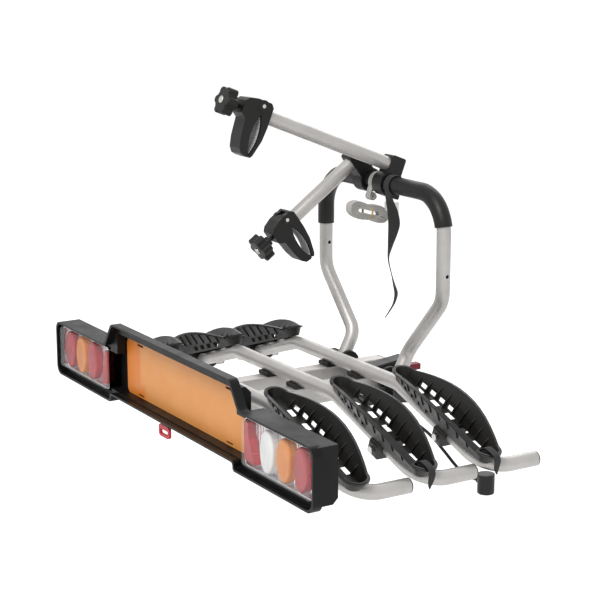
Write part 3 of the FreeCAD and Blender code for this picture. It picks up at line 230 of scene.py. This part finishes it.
def cover_finish():
    """The lamp's clear outer cover."""
    finish, tree, shader, place = start_finish("clear_cover")
    tree.links.new(spread(tree, noise(tree, place, 60.0, 4.0), 0.02, 0.07), shader.inputs["Roughness"])
    shader.inputs["Base Color"].default_value = (0.9, 0.9, 0.9, 1.0)
    shader.inputs["Alpha"].default_value = 0.05
    return finish


def panel_finish():
    """The orange panel: satin sheet with painted shade, a deeper orange strip at its left end."""
    finish, tree, shader, place = start_finish("orange_panel")
    axes = tree.nodes.new("ShaderNodeSeparateXYZ")
    tree.links.new(place, axes.inputs["Vector"])
    # Painted shade: a strip down the panel's left end and a foot along its bottom beside it
    side = spread(tree, axes.outputs["X"], 1.0, 0.0, -0.1985, -0.1955)
    painted_shade_foot = sum_of(tree, spread(tree, axes.outputs["X"], 1.0, 0.0, -0.178, -0.166),
                  spread(tree, axes.outputs["Z"], 1.0, 0.0, 0.034, 0.05), "MULTIPLY")
    painted_shade_strip = sum_of(tree, side, painted_shade_foot, "MAXIMUM")
    cloud = spread(tree, noise(tree, place, 11.0, 3.0), 0.0, 1.0)
    sheet = two_colours(tree, cloud, (0.80, 0.335, 0.088), (0.77, 0.305, 0.072))
    both = tree.nodes.new("ShaderNodeMix")
    both.data_type = "RGBA"
    # The deeper orange of that painted shade
    both.inputs["B"].default_value = (0.78, 0.225, 0.022, 1.0)
    tree.links.new(sheet, both.inputs["A"])
    tree.links.new(painted_shade_strip, both.inputs["Factor"])
    tree.links.new(both.outputs["Result"], shader.inputs["Base Color"])
    tree.links.new(spread(tree, noise(tree, place, 40.0, 4.0), 0.36, 0.5), shader.inputs["Roughness"])
    tree.links.new(relief(tree, noise(tree, place, 900.0, 2.0), 0.00005, 0.4), shader.inputs["Normal"])
    return finish


silver = lacquered("silver_lacquer", (0.50, 0.485, 0.47), (0.43, 0.415, 0.40), 0.6, (0.36, 0.5))
black = moulded("black_plastic", (0.005, 0.005, 0.0055), (0.012, 0.0115, 0.011), (0.34, 0.5))
tray_black = moulded("tray_plastic", (0.006, 0.0055, 0.005), (0.014, 0.013, 0.012), (0.32, 0.5),
                     900.0, 0.00018, 0.35)
board_black = moulded("board_plastic", (0.003, 0.003, 0.0035), (0.007, 0.007, 0.007), (0.34, 0.46), 1600.0,
                      0.00008, 0.18)
jaw_black = moulded("jaw_plastic", (0.006, 0.0055, 0.005), (0.012, 0.011, 0.0105), (0.36, 0.5))
sleeve_black = moulded("sleeve_rubber", (0.006, 0.006, 0.006), (0.016, 0.015, 0.014), (0.3, 0.5),
                       700.0, 0.0003, 0.25)
cable_black = moulded("cable_rubber", (0.008, 0.008, 0.008), (0.014, 0.014, 0.014), (0.4, 0.55))
pad_grey = moulded("pad_rubber", (0.34, 0.34, 0.35), (0.42, 0.42, 0.43), (0.6, 0.8), 900.0, 0.0002)
orange = panel_finish()
maroon = moulded("maroon_plastic", (0.16, 0.012, 0.02), (0.2, 0.015, 0.025), (0.2, 0.3))
loop_red = moulded("loop_red", (0.45, 0.02, 0.03), (0.5, 0.03, 0.04), (0.25, 0.35))
bracket_black = moulded("bracket_coat", (0.016, 0.016, 0.018), (0.03, 0.03, 0.03), (0.3, 0.45),
                        500.0, 0.0001, 0.35)
steel = bare_metal("plated_steel", (0.5, 0.49, 0.47))
red_lens = tinted("red_lens", (0.5, 0.018, 0.03), (0.36, 0.012, 0.02), 0.0, 0.12)
amber_lens = tinted("amber_lens", (0.76, 0.26, 0.02), (0.66, 0.2, 0.012), 0.0, 0.12)
clear_lens = tinted("clear_lens", (0.86, 0.87, 0.86), (0.74, 0.75, 0.74), 0.0, 0.1)
metallised = reflector_finish()
clear_cover = cover_finish()
dark_webbing = woven("dark_webbing", (0.006, 0.006, 0.0065), (0.022, 0.022, 0.024), sheen=0.1)
light_webbing = woven("light_webbing", (0.4, 0.385, 0.36), (0.66, 0.64, 0.6))
tie_webbing = woven("tie_band", (0.5, 0.36, 0.12), (0.68, 0.52, 0.24), 0.0009)

slot_finishes = {
    "silver_tube": silver, "bracket_steel": bracket_black, "coupling_casting": bracket_black,
    "bare_steel": steel, "black_plastic": black, "sleeve_rubber": sleeve_black, "cable_rubber": cable_black,
    "pad_rubber": pad_grey, "dark_webbing": dark_webbing, "light_webbing": light_webbing,
    "orange_panel": orange,
    "lamp_reflector": metallised, "clear_cover": clear_cover, "amber_lens": amber_lens, "red_lens": red_lens,
    "clear_lens": clear_lens, "maroon_plastic": maroon, "red_plastic": loop_red,
}
node_finishes = {"light_board": board_black}
for name in nodes:
    if "tray_" in name:
        node_finishes[name] = tray_black
    if "jaw" in name and "pad" not in name:
        node_finishes[name] = jaw_black
node_finishes["ball_jaw"] = steel
for part in frame["record"]["subparts"]:
    name = part["node"]
    finish = node_finishes.get(name, slot_finishes[part["material_slot"]])
    node = nodes[name]
    node.data.materials.clear()
    node.data.materials.append(finish)
    bpy.context.view_layer.objects.active = node
    node.select_set(True)
    bpy.ops.object.shade_smooth_by_angle(angle=math.radians(32))
    node.select_set(False)


# Soft pieces and small parts, in metres, with the part's own places
bar_x, bar_y, bar_z = 0.0, -0.064, 0.471
sleeve_r = 0.019
bend_r = 0.08
hoop_half = 0.224
# Each arm's place along the bar, offset above it, angle in degrees and length
arms = {
    "upper": (0.014, 0.040, 21.5, 0.334),
    "lower": (-0.060, 0.055, -36.0, 0.189),
}
band_t = 0.0018
band_r = sleeve_r + 0.0016


def alone(piece):
    """That piece active and the only one selected."""
    bpy.ops.object.select_all(action="DESELECT")
    bpy.context.view_layer.objects.active = piece
    piece.select_set(True)


def newest(name, finish, body):
    """The piece just added: named, finished, and riding on its body."""
    piece = bpy.context.active_object
    piece.name = name
    piece.data.materials.clear()
    piece.data.materials.append(finish)
    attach(piece, body)
    return piece


def changed(piece, kind, **values):
    """A modifier put on the piece and applied at once."""
    alone(piece)
    modifier = piece.modifiers.new(kind.lower(), kind)
    for key, value in values.items():
        setattr(modifier, key, value)
    bpy.ops.object.modifier_apply(modifier=modifier.name)


def smooth_line(points, parts):
    """Places on a smooth line through the points, that many to each run."""
    line = []
    last = len(points) - 1
    for i in range(last):
        a, b, c, d = (Vector(points[max(0, min(last, i + k))]) for k in (-1, 0, 1, 2))
        for j in range(parts):
            t = j / parts
            line.append(0.5 * (2 * b + (c - a) * t + (2 * a - 5 * b + 4 * c - d) * t * t
                               + (3 * b - a - 3 * c + d) * t ** 3))
    line.append(Vector(points[last]))
    return line


def webbing(name, points, halves, thickness, finish, body, parts=4):
    """A flat strap through the points; halves are vectors from its middle to its edge at each point."""
    line = smooth_line(points, parts)
    across = smooth_line(halves, parts)
    reach = [0.0]
    for before, after in zip(line, line[1:]):
        reach.append(reach[-1] + (after - before).length)
    rows = len(line) - 1
    bpy.ops.object.select_all(action="DESELECT")
    bpy.ops.mesh.primitive_grid_add(x_subdivisions=4, y_subdivisions=rows, size=1.0, calc_uvs=True)
    piece = newest(name, finish, body)
    mesh = piece.data
    spots = [(v.co.x + 0.5, round((v.co.y + 0.5) * rows)) for v in mesh.vertices]
    for vertex, (side, row) in zip(mesh.vertices, spots):
        vertex.co = line[row] + across[row] * (2 * side - 1)
    uv = mesh.uv_layers.active.data
    for loop in mesh.loops:
        side, row = spots[loop.vertex_index]
        uv[loop.index].uv = (side * 2 * across[row].length, reach[row])
    changed(piece, "SOLIDIFY", thickness=thickness, offset=0.0)
    changed(piece, "SUBSURF", levels=1, render_levels=1)
    bpy.ops.object.shade_smooth()
    return piece


def joined(name, pieces):
    """Several pieces made one; the first keeps its body and slot."""
    alone(pieces[0])
    for piece in pieces:
        piece.select_set(True)
    bpy.ops.object.join()
    pieces[0].name = name
    return pieces[0]


def around_bar(x, radius, start, sweep, half):
    """Points of a turn round the hoop's bar, and the half widths that go with them."""
    points = []
    count = 26
    for i in range(count + 1):
        angle = math.radians(start + sweep * i / count)
        grow = radius + 0.0014 * max(0.0, (sweep * i / count - 345) / 30)
        points.append((x, bar_y + grow * math.sin(angle), bar_z + grow * math.cos(angle)))
    return points, [(half, 0, 0)] * (count + 1)


def on_arm(piece, arm):
    """A piece made in an arm's own frame, set on the hoop's bar at the arm's angle."""
    x, offset, angle, length = arms[arm]
    turn = Matrix.Rotation(math.radians(-angle), 4, "X")
    piece.data.transform(Matrix.Translation((x, bar_y, bar_z)) @ turn)


def curve_piece(name, radius, finish, body):
    """An empty round curve, finished, and riding on its body."""
    curve = bpy.data.curves.new(name, "CURVE")
    curve.dimensions = "3D"
    curve.bevel_depth = radius
    curve.bevel_resolution = 6
    curve.use_fill_caps = True
    piece = bpy.data.objects.new(name, curve)
    scene.collection.objects.link(piece)
    curve.materials.append(finish)
    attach(piece, body)
    return piece, curve


# The sleeve over the hoop's top: on the left it ends below the bend, on the right inside it
sleeve, curve = curve_piece("grip_sleeve", sleeve_r - 0.0003, sleeve_black, "hoop")
curve.resolution_u = 24
sleeve_left_z = 0.350
end_rise = 0.016
end_turn = math.asin(end_rise / bend_r)
quarter = 0.5523 * bend_r
part_handle = 4.0 / 3.0 * math.tan((math.pi / 2 - end_turn) / 4) * bend_r
end = Vector((hoop_half - bend_r + bend_r * math.cos(end_turn), bar_y, bar_z - bend_r + end_rise))
back_up = Vector((-math.sin(end_turn), 0, math.cos(end_turn)))
spots = [
    (Vector((-hoop_half, bar_y, sleeve_left_z)), Vector((0, 0, 1)), 0.012, 0.012),
    (Vector((-hoop_half, bar_y, bar_z - bend_r)), Vector((0, 0, 1)), 0.012, quarter),
    (Vector((bend_r - hoop_half, bar_y, bar_z)), Vector((1, 0, 0)), quarter, 0.05),
    (Vector((hoop_half - bend_r, bar_y, bar_z)), Vector((1, 0, 0)), 0.05, part_handle),
    (end, -back_up, part_handle, 0.01),
]
spline = curve.splines.new("BEZIER")
spline.bezier_points.add(len(spots) - 1)
for knot, (spot, way, before, after) in zip(spline.bezier_points, spots):
    knot.handle_left_type = "FREE"
    knot.handle_right_type = "FREE"
    knot.co = spot
    knot.handle_left = spot - way * before
    knot.handle_right = spot + way * after
alone(sleeve)
bpy.ops.object.convert(target="MESH")
sleeve = bpy.context.active_object
bpy.ops.object.shade_smooth_by_angle(angle=math.radians(40))
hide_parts("hoop_sleeve")

# The cable under the front rail; its points' radius, in metres, gives its thickness and true bounds
cable_r = 0.00325
cable_route = [
    (0.0753, -0.196, 0.044), (0.114, -0.193, 0.041), (0.158, -0.182, 0.034), (0.206, -0.170, 0.026),
    (0.254, -0.154, 0.016), (0.298, -0.142, -0.004), (0.336, -0.135, -0.030), (0.374, -0.133, -0.052),
    (0.412, -0.137, -0.060), (0.440, -0.142, -0.055), (0.4567, -0.143, -0.053),
]
cable, curve = curve_piece("lamp_cable", 1.0, cable_black, "platform")
spline = curve.splines.new("NURBS")
spline.points.add(len(cable_route) - 1)
for knot, spot in zip(spline.points, cable_route):
    knot.co = (*spot, 1.0)
    knot.radius = cable_r
spline.order_u = 3
spline.use_endpoint_u = True
curve.resolution_u = 12
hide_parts("cable")
bpy.ops.object.select_all(action="DESELECT")
bpy.ops.mesh.primitive_cone_add(vertices=28, radius1=0.0075, radius2=0.0045, depth=0.02)
grommet = newest("cable_grommet", cable_black, "platform")
along_cable = Matrix.Rotation(math.radians(94), 4, "Y")
grommet.data.transform(Matrix.Translation((0.0856, -0.1957, 0.0435)) @ along_cable)
changed(grommet, "BEVEL", width=0.0012, segments=3)
bpy.ops.object.shade_smooth_by_angle(angle=math.radians(40))

# Straps that hang over the tips of the two right trays nearest the car
droop = math.atan2(0.1, 0.3)
rail_bend_x, rail_z = 0.2, 0.085
tray_start, tray_seat = 14.0, 15.3


def in_tray(y, u, v, w):
    """A place in the tray's frame, in millimetres, on the right arm of the rail at y."""
    along = (u + tray_start) / 1000
    high = (w + tray_seat) / 1000
    return (rail_bend_x + along * math.cos(droop) + high * math.sin(droop), y + v / 1000,
            rail_z - along * math.sin(droop) + high * math.cos(droop))


# Along the tray, across it, above its floor, and the half width there
strap_route = [
    (150, 0, 4.6, 8), (205, 0, 4.6, 8), (250, 0, 4.6, 8), (268, 0, 6.0, 8), (279, 0, 15.0, 8),
    (288, 0, 25.0, 8), (298, 0, 27.4, 8), (313, 0, 27.4, 8), (321, 0.5, 25.0, 8), (325.5, 1, 18.0, 8),
    (326.5, 1.5, 8.0, 7.5), (327, 2, 0.0, 6), (328, 3, -6.0, 3.5), (330, 4, -11.0, 0.8),
]
tails = []
for y, sway in ((-0.157, 1.0), (-0.310, -0.6)):
    points = [in_tray(y, u, v * sway, w) for u, v, w, half in strap_route]
    halves = [(0, half / 1000, 0) for u, v, w, half in strap_route]
    tails.append(webbing("wheel_strap", points, halves, 0.002, dark_webbing, "platform"))
wheel_straps = joined("wheel_strap_pair", tails)
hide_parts("wheel_straps")

# Dark strap: a turn on the bar and a long tail that twists and curls
tail_x, tail_y, tail_z = 0.044, -0.081, 0.459
# To the side, to the front, down, the turn in degrees, and the half width there
tail_run = [
    (0, 0, 0, 0, 10), (1, -6, 22, 20, 11), (2, -13, 45, 45, 12), (2, -17, 72, 58, 13), (1, -14, 97, 80, 11),
    (0, -9, 122, 110, 9), (0, -5, 148, 138, 8), (1, -13, 182, 145, 8), (2, -19, 205, 130, 7.5),
    (3, -24, 225, 110, 6.5), (2, -20, 245, 115, 5.5), (0, -10, 262, 120, 4), (-2, 1, 277, 125, 1),
]
points = []
halves = []
for side, front, drop, twist, half in tail_run:
    turn = math.radians(twist)
    points.append((tail_x + side / 1000, tail_y - front / 1000, tail_z - drop / 1000))
    halves.append(Vector((math.cos(turn), math.sin(turn), 0)) * half / 1000)
tail = webbing("strap_tail", points, halves, band_t, dark_webbing, "hoop", 8)
turn_points, turn_halves = around_bar(tail_x, band_r, -120, 375, 0.010)
turn_piece = webbing("strap_turn", turn_points, turn_halves, band_t, dark_webbing, "hoop", 3)
dark_strap = joined("dark_strap", [tail, turn_piece])
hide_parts("black_strap")

# Light strap: a turn on the bar, a small roll, and the hank with its tie
def light_band(name, points, half, thickness=band_t, parts=1):
    """A length of the light webbing, as wide all along, its width along X."""
    halves = [(half, 0, 0)] * len(points)
    return webbing(name, points, halves, thickness, light_webbing, "hoop", parts)


ring_x = -0.0145
turn_points, turn_halves = around_bar(ring_x, band_r, -150, 375, 0.0095)
light_turn = light_band("light_turn", turn_points, 0.0095, parts=3)
drop_points = [
    (ring_x, -0.0835, 0.4635), (-0.0150, -0.0862, 0.4570), (-0.0175, -0.0868, 0.4500),
    (-0.0205, -0.0865, 0.4430),
]
light_drop = light_band("light_drop", drop_points, 0.009, parts=4)
roll_x, roll_y, roll_z = -0.0225, -0.078, 0.4405
roll_steps, steps_a_turn = 60, 20
roll_points = []
for i in range(roll_steps + 1):
    angle = 2 * math.pi * i / steps_a_turn
    radius = 0.0028 + 0.0066 * i / roll_steps
    roll_points.append((roll_x, roll_y + radius * math.cos(angle), roll_z + radius * math.sin(angle)))
roll = light_band("light_roll", roll_points, 0.0098)
hank_x, hank_y, hank_z = -0.017, -0.090, 0.406
hank_tilt = 0.27
hank_turns, hank_steps = 6, 36
outer_long, inner_long = 0.0505, 0.0290
outer_high, inner_high = 0.0222, 0.0054
waist, waist_reach = 0.3, 0.016
hank_points = []
for i in range(hank_turns * hank_steps + 1):
    angle = 2 * math.pi * i / hank_steps + 0.6
    share = i / (hank_turns * hank_steps)
    y = (outer_long - (outer_long - inner_long) * share) * math.cos(angle)
    pinch = 1.0 - waist * math.exp(-(y / waist_reach) ** 2)
    high = (outer_high - (outer_high - inner_high) * share) * pinch
    bulge = abs(math.sin(angle)) ** 0.7 * math.copysign(1, math.sin(angle))
    sway = 0.0007 * math.sin(5 * angle)
    hank_points.append((hank_x + sway, hank_y + y, hank_z + high * bulge - hank_tilt * y))
hank = light_band("light_hank", hank_points, 0.0112, thickness=0.0025)
tie_points = []
for i in range(25):
    angle = 2 * math.pi * i / 24
    tie_points.append((hank_x + 0.0132 * math.cos(angle), hank_y + 0.004 * math.cos(angle),
                       hank_z + 0.0168 * math.sin(angle)))
tie = webbing("hank_tie", tie_points, [(0, 0.0026, 0)] * 25, 0.0012, tie_webbing, "hoop", 3)
light_strap = joined("light_strap", [light_turn, light_drop, roll, hank, tie])
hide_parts("strap_hank")

# Ribbed rubber pads in the jaws, and the bright ends of the knobs' studs
leaf_r, leaf_deep, leaf_middle, seam = 0.1018, 0.010, 0.046, 0.025
pad_inset, rib_rise = 0.0014, 0.00045
pad_start, pad_len, pad_half, pad_steps = 0.005, 0.082, 0.0165, 32
stud_front = 0.1125
for arm, (x, offset, angle, length) in arms.items():
    for side, kind, body in ((-1, "fixed", arm + "_arm"), (1, "moving", arm + "_jaw")):
        points = []
        for i in range(pad_steps + 1):
            p = pad_start + pad_len * i / pad_steps
            radius = leaf_r - pad_inset + rib_rise * math.cos(math.pi * i)
            a = seam + side * (leaf_deep - leaf_r) + side * math.sqrt(radius ** 2 - (p - leaf_middle) ** 2)
            points.append((0, -length - a, offset - p))
        halves = [(pad_half, 0, 0)] * len(points)
        lining = "%s_%s_lining" % (arm, kind)
        pad = webbing(lining, points, halves, band_t, pad_grey, body, 2)
        on_arm(pad, arm)
        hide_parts("%s_%s_pad" % (arm, kind))
    bpy.ops.object.select_all(action="DESELECT")
    bpy.ops.mesh.primitive_cylinder_add(vertices=36, radius=0.0075, depth=0.004)
    stud = newest(arm + "_stud_end", steel, arm + "_knob")
    along_stud = Matrix.Rotation(math.pi / 2, 4, "X")
    stud.data.transform(Matrix.Translation((0, -length - stud_front, offset)) @ along_stud)
    changed(stud, "BEVEL", width=0.0012, segments=3)
    bpy.ops.object.shade_smooth_by_angle(angle=math.radians(35))
    on_arm(stud, arm)


# Studio
def background_share(tree):
    """One for rays that see the background: the camera's, reflections and those through clear plastic."""
    path = tree.nodes.new("ShaderNodeLightPath")
    seen = sum_of(tree, path.outputs["Is Camera Ray"], path.outputs["Is Transmission Ray"], "MAXIMUM")
    return sum_of(tree, seen, path.outputs["Is Glossy Ray"], "MAXIMUM")


floor_z = -0.42
bpy.ops.object.select_all(action="DESELECT")
bpy.ops.mesh.primitive_plane_add(size=240.0, location=(0, 0, floor_z))
floor = bpy.context.active_object
floor.name = "studio_floor"
floor_finish, tree, shader, place = start_finish("pale_floor")
tree.links.new(spread(tree, noise(tree, place, 0.6, 2.0), 0.85, 0.95), shader.inputs["Roughness"])
shader.inputs["Base Color"].default_value = (0.8, 0.8, 0.8, 1.0)
shader.inputs["Specular IOR Level"].default_value = 0.0
shader.inputs["Emission Color"].default_value = (1.0, 1.0, 1.0, 1.0)
tree.links.new(sum_of(tree, background_share(tree), 0.55, "MULTIPLY"), shader.inputs["Emission Strength"])
floor.data.materials.append(floor_finish)

world = bpy.data.worlds.new("studio_light")
scene.world = world
world.use_nodes = True
tree = world.node_tree
sky = tree.nodes["Background"]
sky.inputs["Color"].default_value = (1.0, 1.0, 1.0, 1.0)
tree.links.new(sum_of(tree, 0.6, background_share(tree), "MAXIMUM"), sky.inputs["Strength"])


def soft_lamp(name, spot, target, size, power):
    """A square area lamp aimed at a point."""
    light = bpy.data.lights.new(name, "AREA")
    light.size = size
    light.energy = power
    lamp = bpy.data.objects.new(name, light)
    scene.collection.objects.link(lamp)
    lamp.location = spot
    lamp.rotation_euler = (Vector(target) - Vector(spot)).to_track_quat("-Z", "Y").to_euler()


soft_lamp("key_light", (1.6, -2.4, 3.0), (0, -0.3, 0.2), 1.6, 95.0)
soft_lamp("rim_light", (-2.2, 1.8, 2.6), (0, -0.2, 0.2), 2.6, 40.0)

# Camera
camera_spot = Vector((2.8515, -2.03, 1.0))
across = Vector((0.5246, 0.851, 0.0)).normalized()
upward = Vector((-0.189, 0.117, 0.9748)).normalized()
back = across.cross(upward).normalized()
upward = back.cross(across).normalized()
lens = bpy.data.cameras.new("photo_camera")
lens.lens = 97.3
lens.sensor_width = 36.0
lens.clip_start = 0.05
lens.clip_end = 500.0
camera = bpy.data.objects.new("photo_camera", lens)
scene.collection.objects.link(camera)
turn = Matrix((across, upward, back)).transposed()
camera.matrix_world = Matrix.Translation(camera_spot) @ turn.to_4x4()
scene.camera = camera
scene.view_settings.view_transform = "Standard"
